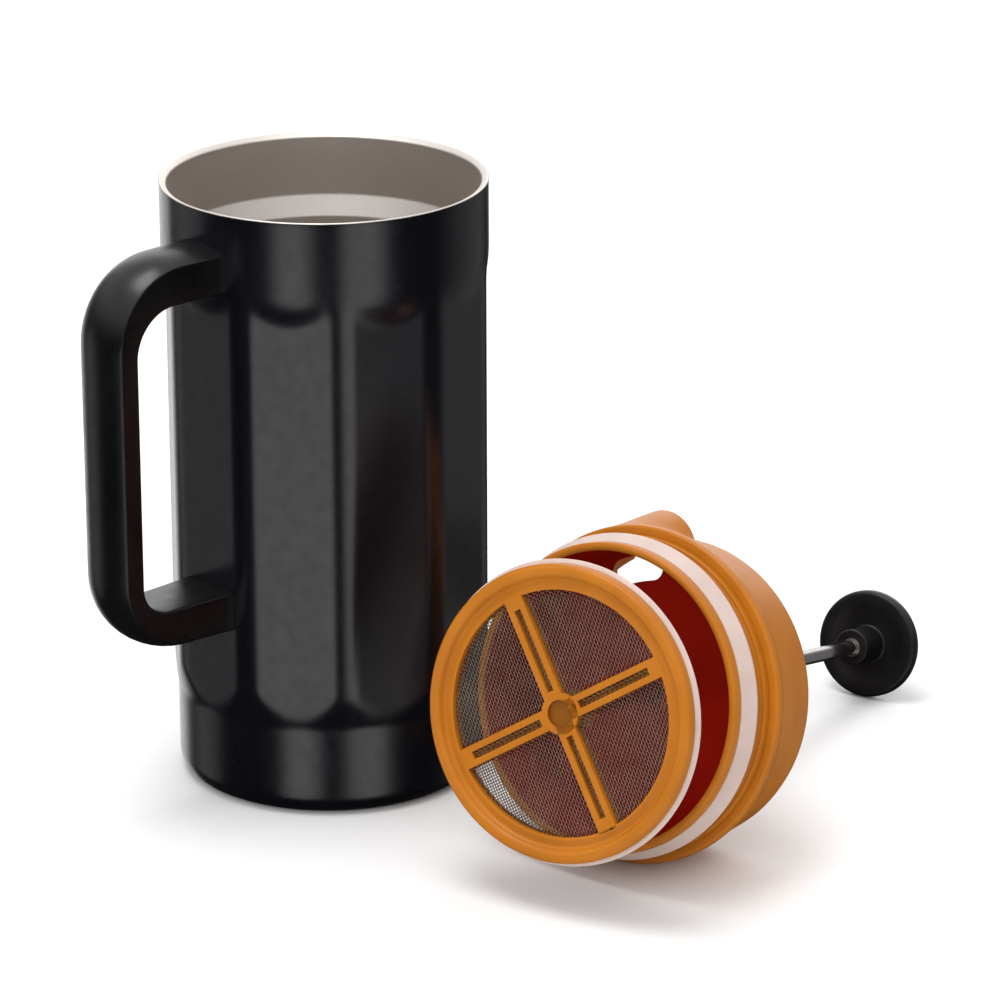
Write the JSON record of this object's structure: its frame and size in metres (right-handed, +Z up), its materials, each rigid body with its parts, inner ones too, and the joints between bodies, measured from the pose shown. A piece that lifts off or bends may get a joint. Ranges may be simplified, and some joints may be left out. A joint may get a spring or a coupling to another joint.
{
  "type": "french press",
  "caption": "Insulated steel coffee press pot with a ten-sided body and side handle; its flanged lid and filter plunger lie on the table beside it.",
  "frame": {"origin": "centre of the pot's base, on the table", "axes": "+Z up along the pot's axis; the handle is on -X; the lid and plunger lie on the -Y side, knob towards +X"},
  "size_m": [0.2725, 0.233, 0.1995],
  "materials": {
    "black_coat": "satin powder coat",
    "steel": "satin",
    "polished_steel": "polished",
    "mesh_steel": "woven wire",
    "black_plastic": "fine matte",
    "orange_plastic": "satin",
    "silicone": "matt silicone"
  },
  "bodies": {
    "pot": {"outer_shell": "black_coat", "inner_liner": "steel", "base_pan": "steel", "vacuum_seal": "steel", "handle_grip": "black_plastic", "bracket_upper": "steel", "bracket_lower": "steel", "screw_upper": "steel", "screw_lower": "steel"},
    "lid": {"lid_shell": "orange_plastic", "lid_skirt": "orange_plastic", "lid_seal": "silicone"},
    "plunger": {"plunger_rod": "polished_steel", "knob": "black_plastic", "knob_insert": "steel", "filter_frame": "orange_plastic", "filter_back": "orange_plastic", "filter_mesh": "mesh_steel", "filter_seal": "silicone", "hub_nut": "steel"}
  },
  "joints": [
    {"name": "lid_lift", "type": "slide", "parent": "pot", "child": "lid", "axis": [0, 0, 1], "range_m": [0, 0.25]},
    {"name": "plunger_slide", "type": "slide", "parent": "lid", "child": "plunger", "axis": [-0.9425, -0.2561, 0.2147], "range_m": [-0.02, 0.124]}
  ]
}
